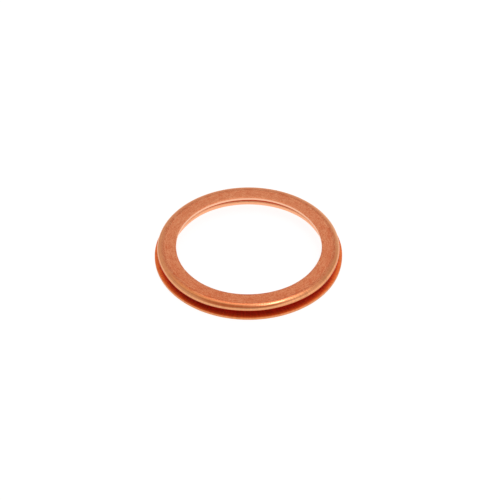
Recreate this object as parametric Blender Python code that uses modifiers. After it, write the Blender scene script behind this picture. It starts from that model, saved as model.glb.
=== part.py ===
# Sealing washer, folded type: one strip of soft copper sheet, folded to an S in section and
# closed into a ring. The upper leaf and the lower leaf are its two sealing faces, and the
# sloping web between them gives way when a plug is tightened down on the ring.
# Blender 4.5, metres, +Z up. The origin is on the ring's axis, in the plane of the lower face.

import math

import bmesh
import bpy

MM = 0.001

# Driving sizes
BORE_DIAMETER = 20.1 * MM  # across the free lip of the upper leaf
RING_WIDTH = 2.95 * MM  # from that lip out to the free edge of the lower leaf
FREE_HEIGHT = 2.0 * MM  # from one sealing face to the other, before the ring is crushed
SHEET = 0.38 * MM  # thickness of the copper strip
OUTER_FOLD_INSET = 0.37 * MM  # from the lower leaf's edge in to the outer fold
INNER_FOLD_INSET = 0.53 * MM  # from the bore's lip out to the inner fold
OUTER_FOLD_HOLLOW = 0.08 * MM  # radius on the hollow side of the outer fold
INNER_FOLD_HOLLOW = 0.155 * MM  # radius on the hollow side of the inner fold
CROWN_RADIUS = 2.0 * MM  # soft shoulder between the upper face and the outer fold
CROWN_ANGLE = math.radians(15)  # how far the shoulder has turned down where the fold begins
EDGE_RADIUS = 0.05 * MM  # corners of the strip's two cut edges

# Fineness of the faceted solid
RING_STEPS = 96
FOLD_STEPS = 7
CROWN_STEPS = 2
EDGE_STEPS = 2

# Soft copper, bright and lightly brushed
COPPER_COLOUR = (0.85, 0.295, 0.138, 1.0)
COPPER_ROUGHNESS = 0.35


def clear_scene():
    for thing in list(bpy.data.objects):
        bpy.data.objects.remove(thing, do_unlink=True)


def bend(centre, radius, start, end, steps):
    """Stations round a bend in the middle of the sheet, without the first one.

    The sheet turns down round its centre where the heading falls, and up where it rises."""
    side = 1 if end < start else -1
    stations = []
    for k in range(1, steps + 1):
        heading = start + (end - start) * k / steps
        r = centre[0] - side * radius * math.sin(heading)
        z = centre[1] + side * radius * math.cos(heading)
        stations.append((r, z, heading))
    return stations


def sheet_middle():
    """The middle of the sheet in section, walked from the bore's lip to the lower leaf's edge.

    A station is (r, z, heading). The upper leaf is walked outwards, with a heading of 0, the
    web inwards and down, and the lower leaf outwards again."""
    half = SHEET / 2
    lip = BORE_DIAMETER / 2
    rim = lip + RING_WIDTH
    outer_bend = OUTER_FOLD_HOLLOW + half
    inner_bend = INNER_FOLD_HOLLOW + half
    top = FREE_HEIGHT - half

    # The crown runs into the outer fold, so both centres lie on the line where one ends
    centres_apart = CROWN_RADIUS - outer_bend
    outer_r = rim - OUTER_FOLD_INSET - half - outer_bend
    crown_r = outer_r - centres_apart * math.sin(CROWN_ANGLE)
    crown_z = top - CROWN_RADIUS
    outer_z = crown_z + centres_apart * math.cos(CROWN_ANGLE)
    inner_r = lip + INNER_FOLD_INSET + half + inner_bend
    inner_z = half + inner_bend

    # The web is straight: it leaves one fold and meets the other as the tangent that crosses
    run, drop = inner_r - outer_r, inner_z - outer_z
    lean = math.asin((outer_bend + inner_bend) / math.hypot(run, drop))
    web = math.atan2(drop, run) - lean
    if web > 0:
        web -= math.tau

    stations = [(lip, top, 0.0), (crown_r, top, 0.0)]
    stations += bend((crown_r, crown_z), CROWN_RADIUS, 0.0, -CROWN_ANGLE, CROWN_STEPS)
    stations += bend((outer_r, outer_z), outer_bend, -CROWN_ANGLE, web, FOLD_STEPS)
    web_foot_r = inner_r + inner_bend * math.sin(web)
    web_foot_z = inner_z - inner_bend * math.cos(web)
    stations.append((web_foot_r, web_foot_z, web))
    stations += bend((inner_r, inner_z), inner_bend, web, 0.0, FOLD_STEPS)
    stations.append((rim, half, 0.0))
    return stations


def edge_corner(r, z, start):
    """Points round a corner of a cut edge, a quarter turn clockwise from the angle start."""
    points = []
    for k in range(EDGE_STEPS + 1):
        angle = start - math.pi / 2 * k / EDGE_STEPS
        points.append((r + EDGE_RADIUS * math.cos(angle), z + EDGE_RADIUS * math.sin(angle)))
    return points


def section_outline():
    """The sheet's closed outline, clockwise: out along one side of it and back along the other."""
    stations = sheet_middle()
    half = SHEET / 2
    one_side, other_side = [], []
    for r, z, heading in stations[1:-1]:
        across_r = -half * math.sin(heading)
        across_z = half * math.cos(heading)
        one_side.append((r + across_r, z + across_z))
        other_side.append((r - across_r, z - across_z))

    lip_r, lip_z, _ = stations[0]
    rim_r, rim_z, _ = stations[-1]
    corner = half - EDGE_RADIUS
    outline = edge_corner(lip_r + EDGE_RADIUS, lip_z + corner, math.pi)
    outline += one_side
    outline += edge_corner(rim_r - EDGE_RADIUS, rim_z + corner, math.pi / 2)
    outline += edge_corner(rim_r - EDGE_RADIUS, rim_z - corner, 0.0)
    outline += reversed(other_side)
    outline += edge_corner(lip_r + EDGE_RADIUS, lip_z - corner, -math.pi / 2)
    return outline


def copper():
    material = bpy.data.materials.new("soft_copper")
    material.use_nodes = True
    shader = material.node_tree.nodes["Principled BSDF"]
    shader.inputs["Base Color"].default_value = COPPER_COLOUR
    shader.inputs["Metallic"].default_value = 1.0
    shader.inputs["Roughness"].default_value = COPPER_ROUGHNESS
    return material


def folded_ring(collection):
    """The section's outline, turned once round the ring's axis."""
    profile = bmesh.new()
    points = [profile.verts.new((r, 0.0, z)) for r, z in section_outline()]
    for here, following in zip(points, points[1:] + points[:1]):
        profile.edges.new((here, following))
    mesh = bpy.data.meshes.new("folded_ring")
    profile.to_mesh(mesh)
    profile.free()
    mesh.materials.append(copper())

    ring = bpy.data.objects.new("folded_ring", mesh)
    collection.objects.link(ring)
    turn = ring.modifiers.new("Turn", "SCREW")
    turn.axis = "Z"
    turn.angle = math.tau
    turn.steps = RING_STEPS
    turn.render_steps = RING_STEPS
    turn.use_merge_vertices = False
    turn.use_smooth_shade = True
    # Keeps the flat leaves flat in shading, beside their small rounded corners
    shading = ring.modifiers.new("Flat leaves", "WEIGHTED_NORMAL")
    shading.mode = "FACE_AREA"
    return ring


def build():
    clear_scene()
    collection = bpy.data.collections.new("sealing_washer")
    bpy.context.scene.collection.children.link(collection)
    folded_ring(collection)


build()
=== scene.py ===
import math

import bpy
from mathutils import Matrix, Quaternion, Vector, noise


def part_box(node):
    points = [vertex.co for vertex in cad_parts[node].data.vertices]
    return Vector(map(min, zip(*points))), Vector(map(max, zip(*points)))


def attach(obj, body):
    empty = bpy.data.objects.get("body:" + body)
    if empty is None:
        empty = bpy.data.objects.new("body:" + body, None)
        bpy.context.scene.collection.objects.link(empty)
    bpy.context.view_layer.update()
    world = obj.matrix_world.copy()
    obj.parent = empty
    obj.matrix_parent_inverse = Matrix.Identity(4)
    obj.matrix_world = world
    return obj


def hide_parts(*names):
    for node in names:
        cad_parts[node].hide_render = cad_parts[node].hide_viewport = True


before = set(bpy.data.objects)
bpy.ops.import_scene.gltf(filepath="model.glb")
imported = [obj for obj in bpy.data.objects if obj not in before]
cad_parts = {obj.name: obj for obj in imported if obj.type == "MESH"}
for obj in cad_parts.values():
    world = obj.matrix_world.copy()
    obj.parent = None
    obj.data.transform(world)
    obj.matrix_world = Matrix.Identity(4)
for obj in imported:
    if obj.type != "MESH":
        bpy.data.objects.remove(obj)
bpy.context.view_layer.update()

mm = 0.001

# Node settings that come up often
smoothStep = {"interpolation_type": "SMOOTHSTEP"}
multiply = {"operation": "MULTIPLY"}
add = {"operation": "ADD"}
larger = {"operation": "MAXIMUM"}
mixColours = {"data_type": "RGBA"}


# sRGB's own curve, undone
def hexToLinear(code):
    channels = [int(code[k:k + 2], 16) / 255 for k in (1, 3, 5)]
    linear = [c / 12.92 if c <= 0.04045 else ((c + 0.055) / 1.055) ** 2.4 for c in channels]
    return (*linear, 1.0)


# Adds a node, sets its own settings, links its sockets or sets them, and gives back one of its outputs.
# Sockets go by name, or by number where names repeat: Mix has its share at 0, its numbers at 2 and 3,
# its colours at 6 and 7, and the mixed colour comes out at 2
def addNode(tree, kind, settings=None, sockets=None, out=0):
    node = tree.nodes.new(kind)
    for name, value in (settings or {}).items():
        setattr(node, name, value)
    for socket, value in (sockets or {}).items():
        if isinstance(value, bpy.types.NodeSocket):
            tree.links.new(value, node.inputs[socket])
        else:
            node.inputs[socket].default_value = value
    return node.outputs[out] if node.outputs else node


def emptyTree(owner):
    owner.use_nodes = True
    owner.node_tree.nodes.clear()
    return owner.node_tree


# The folded ring. Sizes in mm, angles in degrees; the outside and the height come from the frame
ring = {
    "bore": 20.1,            # across the lip of the upper leaf
    "sheet": 0.38,           # copper strip
    "outerFoldInset": 0.37,  # from the lower leaf's edge in to the outer fold
    "innerFoldInset": 0.53,  # from the lip out to the inner fold
    "outerFoldHollow": 0.08,
    "innerFoldHollow": 0.155,
    "crownRadius": 2.0,
    "crownAngle": 15,
    "cornerRadius": 0.05,    # of the two cut edges
    "cornerAngle": 60,       # and how sharp an edge is to be rounded
    "turnSteps": 400,
    "flatSteps": 5,
    "crownSteps": 8,
    "foldSteps": 16,
    "webSteps": 5,
    "cornerSteps": 3,
}

# What the press left uneven, in mm: each is centred at an angle round the ring, counted from +X, and
# at a length along the strip from the lip, and fades to nothing over spread and reach
unevenness = [
    {"angle": -126, "spread": 34, "along": 2.6, "reach": 1.3, "outward": 0.10, "up": -0.03},
    {"angle": -10, "spread": 30, "along": 2.6, "reach": 1.3, "outward": -0.07, "up": 0.0},
    {"angle": -62, "spread": 22, "along": 2.6, "reach": 1.2, "outward": -0.04, "up": 0.0},
    {"angle": -8, "spread": 26, "along": 7.0, "reach": 1.6, "outward": -0.06, "up": 0.0},
    {"angle": -4, "spread": 30, "along": 0.0, "reach": 1.2, "outward": 0.05, "up": 0.0},
    {"angle": -62, "spread": 34, "along": 0.0, "reach": 1.2, "outward": -0.045, "up": 0.0},
    {"angle": -174, "spread": 26, "along": 0.0, "reach": 1.2, "outward": -0.04, "up": 0.0},
    {"angle": 150, "spread": 26, "along": 4.9, "reach": 1.2, "outward": -0.10, "up": 0.0},
    {"angle": 80, "spread": 34, "along": 4.9, "reach": 1.2, "outward": -0.03, "up": 0.0},
    {"angle": 24, "spread": 24, "along": 4.9, "reach": 1.2, "outward": -0.10, "up": 0.0},
    {"angle": 95, "spread": 52, "along": 0.0, "reach": 1.0, "outward": -0.06, "up": 0.0},
    {"angle": -86, "spread": 34, "along": 0.0, "reach": 1.2, "outward": -0.06, "up": 0.0},
    {"angle": 18, "spread": 28, "along": 2.6, "reach": 1.3, "outward": -0.02, "up": 0.0},
]
waviness = {
    "roundTurn": 3.2,        # noise steps from the axis to the ring
    "alongStrip": 0.9,       # and for each mm of the strip
    "outward": 0.014,        # mm
    "down": 0.012,
    "reach": 4.2,            # mm of strip from the lip; the inner fold and the lower leaf lie flat
}


# Points round one bend of the sheet's middle line, as (radius, height) in mm, without the first
def bendPoints(centre, bendRadius, start, end, steps):
    side = 1 if end < start else -1
    points = []
    for k in range(1, steps + 1):
        heading = start + (end - start) * k / steps
        points.append((centre[0] - side * bendRadius * math.sin(heading),
                       centre[1] + side * bendRadius * math.cos(heading)))
    return points


def straightPoints(start, end, steps):
    return [(start[0] + (end[0] - start[0]) * k / steps, start[1] + (end[1] - start[1]) * k / steps)
            for k in range(1, steps + 1)]


# The sheet's middle line, walked from the lip over the outer fold, the web and the inner fold to the rim
def sheetLine(outside, height):
    half = ring["sheet"] / 2
    lip, rim = ring["bore"] / 2, outside / 2
    outerBend = ring["outerFoldHollow"] + half
    innerBend = ring["innerFoldHollow"] + half
    crownAngle = math.radians(ring["crownAngle"])
    top = height - half

    apart = ring["crownRadius"] - outerBend
    outerR = rim - ring["outerFoldInset"] - half - outerBend
    crownR = outerR - apart * math.sin(crownAngle)
    crownZ = top - ring["crownRadius"]
    outerZ = crownZ + apart * math.cos(crownAngle)
    innerR = lip + ring["innerFoldInset"] + half + innerBend
    innerZ = half + innerBend
    run, drop = innerR - outerR, innerZ - outerZ
    web = math.atan2(drop, run) - math.asin((outerBend + innerBend) / math.hypot(run, drop))
    if web > 0:
        web -= math.tau
    webFoot = (innerR + innerBend * math.sin(web), innerZ - innerBend * math.cos(web))

    line = [(lip, top)]
    line += straightPoints(line[-1], (crownR, top), ring["flatSteps"])
    line += bendPoints((crownR, crownZ), ring["crownRadius"], 0, -crownAngle, ring["crownSteps"])
    line += bendPoints((outerR, outerZ), outerBend, -crownAngle, web, ring["foldSteps"])
    line += straightPoints(line[-1], webFoot, ring["webSteps"])
    line += bendPoints((innerR, innerZ), innerBend, web, 0, ring["foldSteps"])
    line += straightPoints(line[-1], (rim, half), ring["flatSteps"])
    return line


# From 1 at no distance to 0 at reach, level at both ends
def fade(distance, reach):
    part = min(abs(distance) / reach, 1)
    return (1 - part * part) ** 2


def lengthsAlong(line):
    along = [0]
    for start, end in zip(line, line[1:]):
        along.append(along[-1] + math.dist(start, end))
    return along


# Moves the sheet's middle surface, ring of vertices by ring of vertices, as the press left it
def pressUneven(piece, line):
    along = lengthsAlong(line)
    steps = ring["turnSteps"]
    for index, vertex in enumerate(piece.data.vertices):
        place = along[index // steps]
        angle = math.degrees(math.atan2(vertex.co.y, vertex.co.x))
        direction = Vector((vertex.co.x, vertex.co.y, 0)).normalized()
        freedom = fade(place, waviness["reach"])
        wave = noise.noise((direction.x * waviness["roundTurn"], direction.y * waviness["roundTurn"],
                            place * waviness["alongStrip"]))
        outward = waviness["outward"] * wave * freedom
        up = -waviness["down"] * abs(wave) * freedom
        for dent in unevenness:
            turn = (angle - dent["angle"] + 180) % 360 - 180
            weight = fade(turn, dent["spread"]) * fade(place - dent["along"], dent["reach"])
            outward += dent["outward"] * weight
            up += dent["up"] * weight
        vertex.co += direction * outward * mm + Vector((0, 0, up * mm))


# Keeps each vertex's length along the strip in mm, and its side of the sheet, for the copper to read:
# side 0 is the upper face and the groove, side 1 the hollow, the bore side and the lower face
def markStrip(piece, line):
    along = lengthsAlong(line)
    perSide = len(line) * ring["turnSteps"]
    values = []
    for index in range(len(piece.data.vertices)):
        values += [along[index % perSide // ring["turnSteps"]], index // perSide, 0]
    strip = piece.data.attributes.new("strip", "FLOAT_VECTOR", "POINT")
    strip.data.foreach_set("vector", values)


def applyModifier(piece, kind, settings):
    modifier = piece.modifiers.new(kind.title(), kind)
    for name, value in settings.items():
        setattr(modifier, name, value)
    bpy.context.view_layer.objects.active = piece
    bpy.ops.object.modifier_apply(modifier=modifier.name)


def makeRing():
    low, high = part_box("folded_ring")
    line = sheetLine((high[0] - low[0]) / mm, (high[2] - low[2]) / mm)
    bpy.ops.object.select_all(action="DESELECT")
    startR, startZ = line[0]
    bpy.ops.mesh.primitive_circle_add(vertices=ring["turnSteps"], radius=startR * mm,
                                      location=(0, 0, startZ * mm), fill_type="NOTHING")
    piece = bpy.context.active_object
    piece.name = piece.data.name = "foldedRing"
    bpy.ops.object.transform_apply(location=True, rotation=True, scale=True)
    bpy.ops.object.mode_set(mode="EDIT")
    bpy.ops.mesh.select_all(action="SELECT")
    for (fromR, fromZ), (toR, toZ) in zip(line, line[1:]):
        bpy.ops.mesh.extrude_region_move(TRANSFORM_OT_translate={"value": (0, 0, (toZ - fromZ) * mm)})
        spread = toR / fromR
        bpy.ops.transform.resize(value=(spread, spread, 1), center_override=(0, 0, toZ * mm))
    bpy.ops.mesh.select_all(action="SELECT")
    bpy.ops.mesh.normals_make_consistent(inside=False)
    bpy.ops.object.mode_set(mode="OBJECT")
    pressUneven(piece, line)
    applyModifier(piece, "SOLIDIFY", {"thickness": ring["sheet"] * mm, "offset": 0,
                                      "use_even_offset": True})
    markStrip(piece, line)
    applyModifier(piece, "BEVEL", {"width": ring["cornerRadius"] * mm, "segments": ring["cornerSteps"],
                                   "limit_method": "ANGLE",
                                   "angle_limit": math.radians(ring["cornerAngle"])})
    bpy.ops.object.shade_smooth()
    return piece


# Annealed copper strip, rolled and then folded between dies: dull pinkish sealing faces with the
# grain of the rolling, a shoulder and folds rubbed bright, and a redder groove that keeps its film.
# Some colours also carry painted light: painted reflections on the folds and the bore side,
# painted highlights on the cut edges, painted bounce light in the groove, and painted shade
# in the deep groove and the hollow
copper = {
    "faceDark": "#DE7247",
    "faceLight": "#F4A173",
    "shoulder": "#EF9B69",
    # the folds are rubbed bright, and paler still with a painted reflection of the white table, most on
    # the fold's lower line
    "fold": "#F8AC78",
    "foldLineAndReflection": "#FAC08E",
    # the groove keeps its film, and its red is brighter with painted light bounced between the leaves
    "groove": "#FA8446",
    # darker under the outer fold with painted shade, over the groove's film
    "deepGrooveFilmAndShade": "#F26A46",
    # the hollow under the upper leaf, down to the top of the inner fold: its film, darker with painted
    # shade
    "hollow": "#E8601E",
    # the bore side of the inner fold: rubbed bright, and paler with a painted reflection of the white
    # table
    "boreSideAndReflection": "#FFB88C",
    # the two cut edges: fresh cut copper, paler with a painted highlight
    "lipEdgeAndHighlight": "#FFC4A0",
    "rimEdgeAndHighlight": "#FCA870",
    "palerAcross": 0.010,    # of the face's tone, each mm toward +Y
    "palerAtLip": 0.10,
    "faceRoughness": 0.34,
    "shoulderRoughness": 0.14,
    "grooveRoughness": 0.50,
    "boreRoughness": 0.32,
    "roughnessSpread": 0.12,
    "deepMetallic": 0.90,    # under the film, in the groove and the hollow
    "rollingDepth": 0.006,   # mm
    "streakDepth": 0.0018,
}

# Where each finish, with its painted light and shade, lies: from none of it to all of it over a range of
# mm along the strip from the lip, and from the other side of the sheet to its own
zones = {
    "burnished": [("strip", 1.45, 1.80), ("strip", 3.10, 2.95), ("side", 0.7, 0.3)],
    "shoulder": [("strip", 1.80, 2.20), ("strip", 3.10, 2.95), ("side", 0.7, 0.3)],
    "fold": [("strip", 2.25, 2.43), ("strip", 3.10, 2.95), ("side", 0.7, 0.3)],
    "foldLineAndReflection": [("strip", 2.50, 2.62), ("strip", 3.10, 2.95), ("side", 0.7, 0.3)],
    "groove": [("strip", 2.95, 3.10), ("side", 0.7, 0.3)],
    "deepGrooveFilmAndShade": [("strip", 2.95, 3.10), ("strip", 6.70, 6.30), ("side", 0.7, 0.3)],
    "hollow": [("strip", 0.02, 0.08), ("strip", 4.46, 4.34), ("side", 0.3, 0.7)],
    "boreSideAndReflection": [("strip", 4.34, 4.46), ("strip", 5.30, 5.00), ("side", 0.3, 0.7)],
    "lipSide": [("strip", 1.00, 0.40), ("side", 0.7, 0.3)],
    "lipEdgeAndHighlight": [("strip", 0.03, 0.01)],
    "rimEdgeAndHighlight": [("strip", 7.01, 7.03)],
}
# Those with a colour of their own, some of it painted light and shade, each laid over the ones before it
colouredZones = ["shoulder", "fold", "foldLineAndReflection", "groove", "deepGrooveFilmAndShade",
                 "hollow", "boreSideAndReflection", "lipEdgeAndHighlight", "rimEdgeAndHighlight"]

# Grain sizes in mm: round the ring, at about that radius, and along the strip, or the same all ways.
# The finest real grain, under 0.1 mm, is drawn twice as coarse so that it shows
grain = {
    "rolling": {"radius": 11.5, "round": 0.9, "along": 0.11, "detail": 3.0, "roughness": 0.6},
    "streaks": {"radius": 12.4, "round": 0.24, "along": 1.6, "detail": 2.0, "roughness": 0.5},
    "specks": {"size": 0.15, "detail": 2.0, "roughness": 0.5},
    "blotches": {"size": 1.3, "detail": 3.0, "roughness": 0.55},
    "stains": {"size": 5.0, "detail": 2.0, "roughness": 0.5},
}

# How the grain is mixed. The streaks are drag marks of the dies, across the fold and in the groove
shading = {
    "specksInFine": 0.55,
    "stainsInBroad": 0.45,
    "broadInTone": 0.11,
    "toneRange": (0.43, 0.59),      # of the mix, from the faces' dark to their light
    "specksInRelief": 0.4,
    "streakRange": (0.3, 0.7),      # of their noise
    "streakShade": (0.88, 1.12),    # times the colour under them, from darkest to lightest
    "streaksOnShoulder": 0.5,
}
# Where the die crimped the shoulder, so that the streaks there are stronger
crimp = {
    "angle": math.radians(-40),
    "full": math.radians(10),
    "fade": math.radians(26),
    "strength": 2.8,
}


def zoneMasks(tree, measures):
    masks = {}
    for name, limits in zones.items():
        mask = None
        for measure, none, full in limits:
            part = addNode(tree, "ShaderNodeMapRange", smoothStep,
                           {"Value": measures[measure], "From Min": none, "From Max": full})
            mask = addNode(tree, "ShaderNodeMath", multiply, {0: mask, 1: part}) if mask else part
        masks[name] = mask
    return masks


# Rolling marks run round the ring and drag marks across the strip; the rest is the same all ways
def grainMarks(tree, inMm, around, strip):
    marks = {}
    for name, mark in grain.items():
        if "radius" in mark:
            turned = addNode(tree, "ShaderNodeVectorMath", {"operation": "SCALE"},
                             {0: around, "Scale": mark["radius"] / mark["round"]})
            lanes = addNode(tree, "ShaderNodeMath", multiply, {0: strip, 1: 1 / mark["along"]})
            lanes = addNode(tree, "ShaderNodeCombineXYZ", None, {"Z": lanes})
            place = addNode(tree, "ShaderNodeVectorMath", add, {0: turned, 1: lanes})
            scale = 1.0
        else:
            place, scale = inMm, 1 / mark["size"]
        marks[name] = addNode(tree, "ShaderNodeTexNoise", None,
                              {"Vector": place, "Scale": scale,
                               "Detail": mark["detail"], "Roughness": mark["roughness"]})
    return marks


# Tone of the faces: most of it from the fine grain, the rest from blotches and stains
def faceTone(tree, marks, inMm, lipSide):
    fine = addNode(tree, "ShaderNodeMix", None,
                   {0: shading["specksInFine"], 2: marks["rolling"], 3: marks["specks"]})
    broad = addNode(tree, "ShaderNodeMix", None,
                    {0: shading["stainsInBroad"], 2: marks["blotches"], 3: marks["stains"]})
    tone = addNode(tree, "ShaderNodeMix", None, {0: shading["broadInTone"], 2: fine, 3: broad})
    dark, light = shading["toneRange"]
    tone = addNode(tree, "ShaderNodeMapRange", None, {"Value": tone, "From Min": dark, "From Max": light})
    tone = addNode(tree, "ShaderNodeMath", {"operation": "MULTIPLY_ADD"},
                   {0: lipSide, 1: copper["palerAtLip"], 2: tone})
    across = addNode(tree, "ShaderNodeSeparateXYZ", None, {0: inMm}, out="Y")
    return addNode(tree, "ShaderNodeMath", {"operation": "MULTIPLY_ADD", "use_clamp": True},
                   {0: across, 1: copper["palerAcross"], 2: tone})


# How strong the drag marks are on the shoulder: 1, and more near the crimp
def crimpedShoulder(tree, around, shoulder):
    toCrimp = (math.cos(crimp["angle"]), math.sin(crimp["angle"]), 0)
    nearCrimp = addNode(tree, "ShaderNodeVectorMath", {"operation": "DOT_PRODUCT"},
                        {0: around, 1: toCrimp}, out="Value")
    nearCrimp = addNode(tree, "ShaderNodeMapRange", smoothStep,
                        {"Value": nearCrimp, "From Min": math.cos(crimp["fade"]),
                         "From Max": math.cos(crimp["full"]), "To Min": 1.0, "To Max": crimp["strength"]})
    return addNode(tree, "ShaderNodeMath", multiply, {0: shoulder, 1: nearCrimp})


def copperMaterial():
    material = bpy.data.materials.new("annealedCopperFolded")
    tree = emptyTree(material)
    place = addNode(tree, "ShaderNodeTexCoord", out="Object")
    inMm = addNode(tree, "ShaderNodeVectorMath", {"operation": "SCALE"}, {0: place, "Scale": 1 / mm})
    flat = addNode(tree, "ShaderNodeVectorMath", multiply, {0: inMm, 1: (1, 1, 0)})
    around = addNode(tree, "ShaderNodeVectorMath", {"operation": "NORMALIZE"}, {0: flat})
    sheetPlace = addNode(tree, "ShaderNodeAttribute", {"attribute_name": "strip"}, out="Vector")
    strip = addNode(tree, "ShaderNodeSeparateXYZ", None, {0: sheetPlace}, out="X")
    masks = zoneMasks(tree, {"strip": strip, "side": strip.node.outputs["Y"]})
    marks = grainMarks(tree, inMm, around, strip)
    crimped = crimpedShoulder(tree, around, masks["shoulder"])

    # Colour: the faces' tone, the zones over it with their painted light and shade, and the drag marks
    # darker and lighter than both
    tone = faceTone(tree, marks, inMm, masks["lipSide"])
    colour = addNode(tree, "ShaderNodeMix", mixColours,
                     {0: tone, 6: hexToLinear(copper["faceDark"]), 7: hexToLinear(copper["faceLight"])},
                     out=2)
    for name in colouredZones:
        colour = addNode(tree, "ShaderNodeMix", mixColours,
                         {0: masks[name], 6: colour, 7: hexToLinear(copper[name])}, out=2)
    streaked = addNode(tree, "ShaderNodeMath", larger, {0: masks["groove"], 1: masks["rimEdgeAndHighlight"]})
    streaked = addNode(tree, "ShaderNodeMath", {"operation": "MULTIPLY_ADD"},
                       {0: crimped, 1: shading["streaksOnShoulder"], 2: streaked})
    low, high = shading["streakRange"]
    darker, lighter = shading["streakShade"]
    shade = addNode(tree, "ShaderNodeMapRange", None,
                    {"Value": marks["streaks"], "From Min": low, "From Max": high,
                     "To Min": darker, "To Max": lighter})
    shade = addNode(tree, "ShaderNodeMix", {"clamp_factor": False}, {0: streaked, 2: 1.0, 3: shade})
    colour = addNode(tree, "ShaderNodeVectorMath", {"operation": "SCALE"}, {0: colour, "Scale": shade})

    # Gloss: dull faces, bright shoulder and folds, and the film in the groove and the hollow
    roughness = addNode(tree, "ShaderNodeMix", None,
                        {0: masks["burnished"], 2: copper["faceRoughness"],
                         3: copper["shoulderRoughness"]})
    roughness = addNode(tree, "ShaderNodeMix", None,
                        {0: masks["groove"], 2: roughness, 3: copper["grooveRoughness"]})
    roughness = addNode(tree, "ShaderNodeMix", None,
                        {0: masks["boreSideAndReflection"], 2: roughness, 3: copper["boreRoughness"]})
    spread = addNode(tree, "ShaderNodeMath", {"operation": "MULTIPLY_ADD"},
                     {0: marks["blotches"], 1: copper["roughnessSpread"],
                      2: -copper["roughnessSpread"] / 2})
    roughness = addNode(tree, "ShaderNodeMath", add, {0: roughness, 1: spread})
    deep = addNode(tree, "ShaderNodeMath", larger, {0: masks["deepGrooveFilmAndShade"], 1: masks["hollow"]})
    metallic = addNode(tree, "ShaderNodeMix", None, {0: deep, 2: 1.0, 3: copper["deepMetallic"]})

    # Relief: the grain of the rolling all over, and the drag marks from the shoulder to the outer fold
    relief = addNode(tree, "ShaderNodeMix", None,
                     {0: shading["specksInRelief"], 2: marks["rolling"], 3: marks["specks"]})
    bump = addNode(tree, "ShaderNodeBump", None,
                   {"Height": relief, "Strength": 1.0, "Distance": copper["rollingDepth"] * mm})
    dragged = addNode(tree, "ShaderNodeMath", multiply, {0: marks["streaks"], 1: crimped})
    bump = addNode(tree, "ShaderNodeBump", None,
                   {"Height": dragged, "Strength": 1.0, "Distance": copper["streakDepth"] * mm,
                    "Normal": bump})
    shader = addNode(tree, "ShaderNodeBsdfPrincipled", None,
                     {"Base Color": colour, "Metallic": metallic, "Roughness": roughness, "Normal": bump})
    addNode(tree, "ShaderNodeOutputMaterial", None, {"Surface": shader})
    return material


# White table under the ring and a soft light behind it. Sizes in metres where nothing says mm
studio = {
    "floorHalf": 3.0,
    "floorDrop": 0.01,          # mm below the ring
    "floorGlow": 0.90,          # what the camera and the copper see of the white table
    "floorBesideRing": 0.74,    # of that glow, where the ring shades the table that the copper mirrors
    "shadeStart": (11, 12),     # mm from the axis: none to all of that shade
    "shadeEnd": (14, 26),       # and from all of it to none
    "floorCloth": "#848484",    # the rest of the table's white, which takes the shadow
    "keySize": (0.04, 0.12),
    "keyLevel": 4.0,            # brightness of its face, where 1 is white
    "keyColour": (0.93, 1.0, 1.35),
    "keyDistance": 0.5,
    "keyAzimuth": 20,           # degrees to the right of straight behind the ring
    "keyElevation": 67.5,
    "keyLean": 38,              # its top leans to the right
}

# The room that the copper mirrors, by height, where 1 is straight up, and then patches of it, each
# laid over the ones before it, with their place and spread in degrees
sky = {
    "low": (0.78, 0.78, 0.78),
    "middle": (0.72, 0.72, 0.72),
    "top": (0.60, 0.60, 0.60),
    "lowToMiddle": (0.0, 0.5),
    "middleToTop": (0.7, 1.0),
}
skyPatches = [
    {"azimuth": 0, "elevation": 48, "full": 10, "fade": 26, "colour": (0.65, 0.65, 0.65)},
    {"azimuth": 103, "elevation": 0, "full": 25, "fade": 50, "colour": (1.02, 1.02, 1.02)},
    {"azimuth": -165, "elevation": 38, "full": 20, "fade": 58, "colour": (0.53, 0.36, 0.28)},
    {"azimuth": 180, "elevation": 64, "full": 16, "fade": 40, "colour": (0.48, 0.25, 0.17)},
    {"azimuth": -85, "elevation": 12, "full": 14, "fade": 50, "colour": (0.66, 0.66, 0.66)},
    {"azimuth": 180, "elevation": -2, "full": 14, "fade": 28, "colour": (0.74, 0.74, 0.74)},
    {"azimuth": -138, "elevation": -2, "full": 14, "fade": 28, "colour": (0.66, 0.66, 0.66)},
    {"azimuth": 180, "elevation": 27, "full": 10, "fade": 22, "colour": (0.46, 0.44, 0.42)},
    {"azimuth": -35, "elevation": 6, "full": 8, "fade": 24, "colour": (0.58, 0.58, 0.58)},
    {"azimuth": 28, "elevation": 14, "full": 8, "fade": 26, "colour": (0.84, 1.0, 1.1)},
    {"azimuth": 97, "elevation": 38, "full": 22, "fade": 38, "colour": (0.75, 0.75, 0.75)},
    {"azimuth": 46, "elevation": 38, "full": 6, "fade": 22, "colour": (0.60, 0.60, 0.58)},
    {"azimuth": -48, "elevation": 57, "full": 4, "fade": 16, "colour": (0.58, 0.52, 0.42)},
    {"azimuth": 152, "elevation": 58, "full": 8, "fade": 24, "colour": (0.50, 0.34, 0.28)},
    {"azimuth": 17, "elevation": 61, "full": 2, "fade": 8, "colour": (1.6, 1.6, 1.6)},
    {"azimuth": -22, "elevation": 59, "full": 4, "fade": 14, "colour": (0.80, 0.76, 0.62)},
    {"azimuth": 0, "elevation": 57, "full": 3, "fade": 10, "colour": (1.35, 1.35, 1.28)},
    {"azimuth": -62, "elevation": 79, "full": 6, "fade": 22, "colour": (0.47, 0.30, 0.22)},
    {"azimuth": 55, "elevation": 74, "full": 4, "fade": 18, "colour": (1.35, 1.35, 1.35)},
]


# Azimuth runs from straight behind the ring to its right
def directionTo(azimuth, elevation):
    azimuth, elevation = math.radians(azimuth), math.radians(elevation)
    level = math.cos(elevation)
    return (level * math.sin(azimuth), level * math.cos(azimuth), math.sin(elevation))


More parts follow.
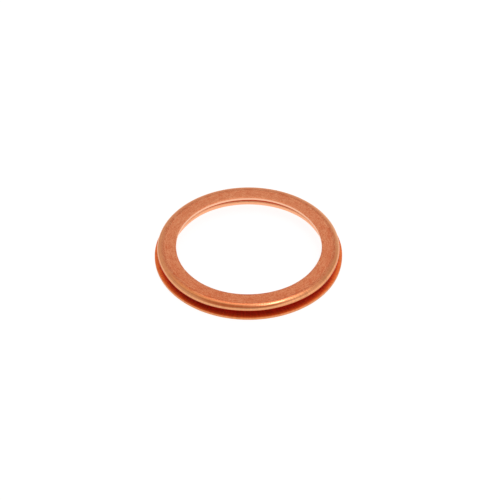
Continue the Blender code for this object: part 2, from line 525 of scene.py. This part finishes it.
def makeFloor():
    bpy.ops.mesh.primitive_plane_add(size=2 * studio["floorHalf"],
                                     location=(0, 0, -studio["floorDrop"] * mm))
    floor = bpy.context.active_object
    floor.name = "tableTop"
    material = bpy.data.materials.new("whiteTable")
    tree = emptyTree(material)
    camera = addNode(tree, "ShaderNodeLightPath", out="Is Camera Ray")
    rays = camera.node.outputs
    spot = addNode(tree, "ShaderNodeTexCoord", out="Object")
    away = addNode(tree, "ShaderNodeVectorMath", {"operation": "LENGTH"}, {0: spot}, out="Value")
    none, full = studio["shadeStart"]
    underRing = addNode(tree, "ShaderNodeMapRange", smoothStep,
                        {"Value": away, "From Min": none * mm, "From Max": full * mm})
    full, none = studio["shadeEnd"]
    beside = addNode(tree, "ShaderNodeMapRange", smoothStep,
                     {"Value": away, "From Min": full * mm, "From Max": none * mm,
                      "To Min": studio["floorBesideRing"], "To Max": 1.0})
    beside = addNode(tree, "ShaderNodeMix", None, {0: underRing, 2: 1.0, 3: beside})
    mirrored = addNode(tree, "ShaderNodeMath", multiply, {0: rays["Is Glossy Ray"], 1: beside})
    seen = addNode(tree, "ShaderNodeMath", add, {0: camera, 1: mirrored})
    seen = addNode(tree, "ShaderNodeMath", add, {0: seen, 1: rays["Is Transmission Ray"]})
    strength = addNode(tree, "ShaderNodeMath", multiply, {0: seen, 1: studio["floorGlow"]})
    glow = addNode(tree, "ShaderNodeEmission", None, {"Strength": strength})
    cloth = addNode(tree, "ShaderNodeBsdfDiffuse", None, {"Color": hexToLinear(studio["floorCloth"])})
    both = addNode(tree, "ShaderNodeAddShader", None, {0: glow, 1: cloth})
    addNode(tree, "ShaderNodeOutputMaterial", None, {"Surface": both})
    floor.data.materials.append(material)


def makeRoom():
    world = bpy.data.worlds.new("softRoom")
    bpy.context.scene.world = world
    tree = emptyTree(world)
    direction = addNode(tree, "ShaderNodeTexCoord", out="Generated")
    height = addNode(tree, "ShaderNodeSeparateXYZ", None, {0: direction}, out="Z")
    low, high = sky["lowToMiddle"]
    rise = addNode(tree, "ShaderNodeMapRange", smoothStep,
                   {"Value": height, "From Min": low, "From Max": high})
    colour = addNode(tree, "ShaderNodeMix", mixColours,
                     {0: rise, 6: (*sky["low"], 1), 7: (*sky["middle"], 1)}, out=2)
    low, high = sky["middleToTop"]
    rise = addNode(tree, "ShaderNodeMapRange", smoothStep,
                   {"Value": height, "From Min": low, "From Max": high})
    colour = addNode(tree, "ShaderNodeMix", mixColours, {0: rise, 6: colour, 7: (*sky["top"], 1)}, out=2)
    for patch in skyPatches:
        nearness = addNode(tree, "ShaderNodeVectorMath", {"operation": "DOT_PRODUCT"},
                           {0: direction, 1: directionTo(patch["azimuth"], patch["elevation"])},
                           out="Value")
        inside = addNode(tree, "ShaderNodeMapRange", smoothStep,
                         {"Value": nearness, "From Min": math.cos(math.radians(patch["fade"])),
                          "From Max": math.cos(math.radians(patch["full"]))})
        colour = addNode(tree, "ShaderNodeMix", mixColours,
                         {0: inside, 6: colour, 7: (*patch["colour"], 1)}, out=2)
    room = addNode(tree, "ShaderNodeBackground", None, {"Color": colour, "Strength": 1.0})
    white = addNode(tree, "ShaderNodeBackground", None, {"Color": (1, 1, 1, 1), "Strength": 1.0})
    seen = addNode(tree, "ShaderNodeLightPath", out="Is Camera Ray")
    either = addNode(tree, "ShaderNodeMixShader", None, {0: seen, 1: room, 2: white})
    addNode(tree, "ShaderNodeOutputWorld", None, {"Surface": either})


def makeSoftbox():
    width, height = studio["keySize"]
    key = bpy.data.lights.new("softbox", "AREA")
    key.shape = "RECTANGLE"
    key.size, key.size_y = width, height
    key.energy = studio["keyLevel"] * math.pi * width * height
    key.color = studio["keyColour"]
    keyObject = bpy.data.objects.new("softbox", key)
    direction = Vector(directionTo(studio["keyAzimuth"], studio["keyElevation"]))
    keyObject.location = direction * studio["keyDistance"]
    lean = Quaternion((0, 0, 1), math.radians(studio["keyLean"]))
    keyObject.rotation_euler = (direction.to_track_quat("Z", "Y") @ lean).to_euler()
    bpy.context.collection.objects.link(keyObject)


# The photograph's own angle, taken from the ring's edges in it
view = {
    "elevation": 41.75,      # degrees
    "distance": 450,         # mm
    "aimRight": 0.19,        # mm from the ring's axis to the middle of the picture
    "aimUp": 0.83,
    "focalLength": 233.9,    # mm, on a sensor this wide
    "sensorWidth": 36,
    "clipStart": 0.01,       # metres
}


def makeCamera():
    elevation = math.radians(view["elevation"])
    away, up = view["distance"], view["aimUp"]
    camera = bpy.data.cameras.new("camera")
    camera.lens = view["focalLength"]
    camera.sensor_width = view["sensorWidth"]
    camera.clip_start = view["clipStart"]
    cameraObject = bpy.data.objects.new("camera", camera)
    cameraObject.location = (view["aimRight"] * mm,
                             (-away * math.cos(elevation) + up * math.sin(elevation)) * mm,
                             (away * math.sin(elevation) + up * math.cos(elevation)) * mm)
    cameraObject.rotation_euler = (math.radians(90) - elevation, 0, 0)
    bpy.context.collection.objects.link(cameraObject)
    bpy.context.scene.camera = cameraObject
    bpy.context.scene.view_settings.view_transform = "Standard"


makeCamera()
print("camera is set")
foldedRing = makeRing()
foldedRing.data.materials.append(copperMaterial())
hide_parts("folded_ring")
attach(foldedRing, "root")
print("ring is folded:", len(foldedRing.data.polygons), "faces")
makeFloor()
makeRoom()
makeSoftbox()
print("studio is lit")
